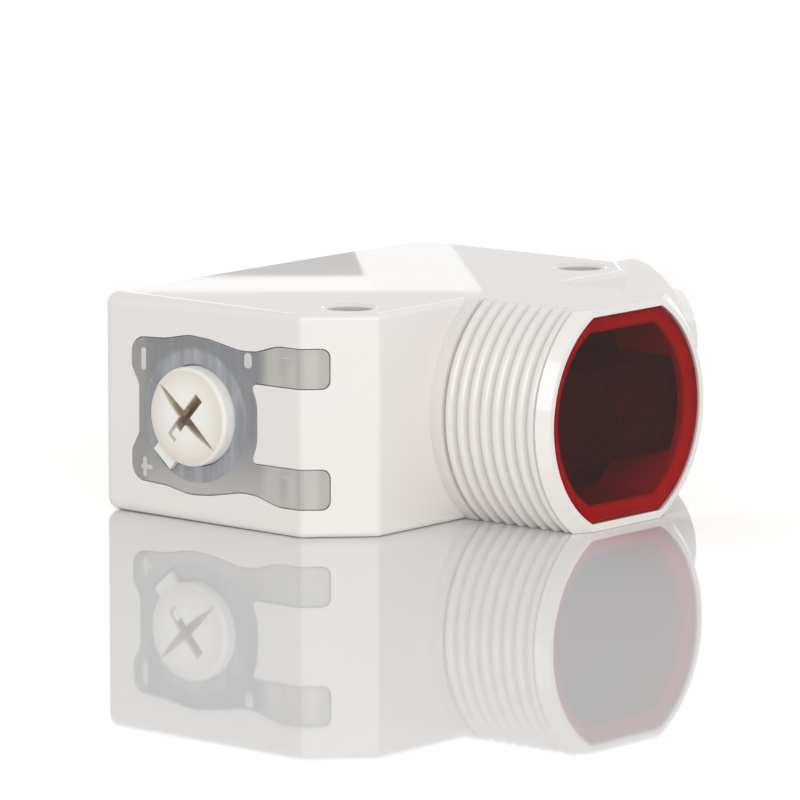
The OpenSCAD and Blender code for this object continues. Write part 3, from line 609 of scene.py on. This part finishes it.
# Connector
# Plug end of a standard 12 mm connector: four gold pins in a black insert, sealed in the collar.
# The pins are turned brass with a thin layer of gold.
insert_black = moulded("insert_black", linear(28, 28, 30), linear(38, 38, 40), linear(64, 64, 66),
                       (0.35, 0.5), 0.004)
finish(insert_black, "connector_insert")
pin_gold, tree, shader, _ = new_material("pin_gold", Metallic=1.0)
skin = use(tree, moulded_skin, Flow_Scale=500, Grain_Scale=6000)
ease = use(tree, eased_edge, Radius=0.08 * mm)
fill(tree, shader, {"Base Color": blend(tree, skin["Flow"], linear(214, 172, 92), linear(232, 194, 116)),
                    "Roughness": spread(tree, skin["Grain"], 0.16, 0.3), "Normal": ease["Normal"]})
finish(pin_gold, "contact_pins")


# Studio
# White glossy floor that mirrors the sensor, white all round, and one large soft lamp beside the
# camera. A wall and some cards stand behind the sensor and show only in what mirrors them: they
# give the polished upper side its white and grey fields.
world = bpy.data.worlds.new("studio")
bpy.context.scene.world = world
world.use_nodes = True
tree = world.node_tree
tree.nodes.clear()
path = add(tree, "LightPath").outputs
shown = figure(tree, "Math", "MAXIMUM", path["Is Camera Ray"], path["Is Glossy Ray"])
shown = figure(tree, "Math", "MAXIMUM", shown, path["Is Transmission Ray"])
height = add(tree, "SeparateXYZ", Vector=add(tree, "TexCoord").outputs["Generated"]).outputs["Z"]
at_horizon, overhead = 1.07, 0.52
lighting = spread(tree, height, at_horizon, overhead, 0, 1)
sky = add(tree, "Background", Color=(1, 1, 1, 1), Strength=spread(tree, shown, lighting, 1, 0, 1))
add(tree, "OutputWorld", Surface=sky.outputs["Background"])

bpy.ops.object.select_all(action="DESELECT")
bpy.ops.mesh.primitive_plane_add(size=6, location=(0, 0, -0.02 * mm))
floor = bpy.context.object
floor.name = "floor"
mirror_share = 0.34
floor_gloss = bpy.data.materials.new("floor_gloss")
floor_gloss.use_nodes = True
tree = floor_gloss.node_tree
tree.nodes.clear()
lights_sensor = add(tree, "LightPath").outputs["Is Diffuse Ray"]
white = blend(tree, lights_sensor, (0.85, 0.85, 0.85, 1), (0.95, 0.95, 0.95, 1))
sheet = add(tree, "BsdfDiffuse", Color=white)
mirror = add(tree, "BsdfGlossy", Color=(1, 0.99, 0.978, 1), Roughness=0.03)
mirrored = spread(tree, lights_sensor, mirror_share, 0, 0, 1)
add(tree, "OutputMaterial", Surface=either(tree, mirrored, sheet, mirror))
floor.data.materials.append(floor_gloss)

# Directions on the floor: away from the camera, and across its picture to the right
away = Vector((looking.x, looking.y, 0)).normalized()
across = Vector((away.y, -away.x, 0))


def screen(name, distance, level, lower, upper):
    """A card behind the sensor. Each edge gives its two ends, in metres across to the right and up."""
    bpy.ops.object.select_all(action="DESELECT")
    bpy.ops.mesh.primitive_plane_add(size=1)
    card = bpy.context.object
    card.name = name
    for corner, (side, up) in zip(card.data.vertices, lower + upper):
        corner.co = away * distance + across * side + Vector((0, 0, up))
    paint = bpy.data.materials.new(name)
    paint.use_nodes = True
    paint.node_tree.nodes.clear()
    glow = add(paint.node_tree, "Emission", Color=(1, 1, 1, 1), Strength=level)
    add(paint.node_tree, "OutputMaterial", Surface=glow.outputs[0])
    card.data.materials.append(paint)
    card.visible_camera = card.visible_diffuse = card.visible_shadow = card.visible_transmission = False


screen("white_wall", 1.56, 1.8, ((-0.6, -0.02), (0.6, -0.02)), ((-0.6, 0.5), (0.6, 0.5)))
screen("grey_screen", 1.52, 0.64, ((-0.0868, 0.2195), (0.0725, 0.2195)), ((-0.0868, 0.248), (0.0725, 0.248)))
screen("dark_card", 1.51, 0.22, ((-0.08, 0.22), (-0.022, 0.22)), ((-0.08, 0.2325), (-0.018, 0.2325)))
screen("white_strip", 1.5, 1.08, ((-0.083, 0.2318), (-0.0151, 0.2312)), ((-0.083, 0.2356), (0.0148, 0.2352)))
screen("white_flag", 1.49, 1.0, ((-0.0235, 0.216), (0.0025, 0.216)), ((-0.0151, 0.2333), (0.0148, 0.2342)))

light = bpy.data.lights.new("key_lamp", "AREA")
light.shape = "RECTANGLE"
light.size = 0.5
light.size_y = 0.36
light.energy = 1.2
key_lamp = bpy.data.objects.new("key_lamp", light)
bpy.context.scene.collection.objects.link(key_lamp)
lamp_place = Vector((0.54, -0.36, 0.22))
lamp_aim = Vector((0, 0, 0.007))
key_lamp.location = lamp_place
key_lamp.rotation_mode = "QUATERNION"
key_lamp.rotation_quaternion = (lamp_aim - lamp_place).to_track_quat("-Z", "Y")
key_lamp.visible_camera = False

bpy.context.scene.view_settings.view_transform = "Standard"
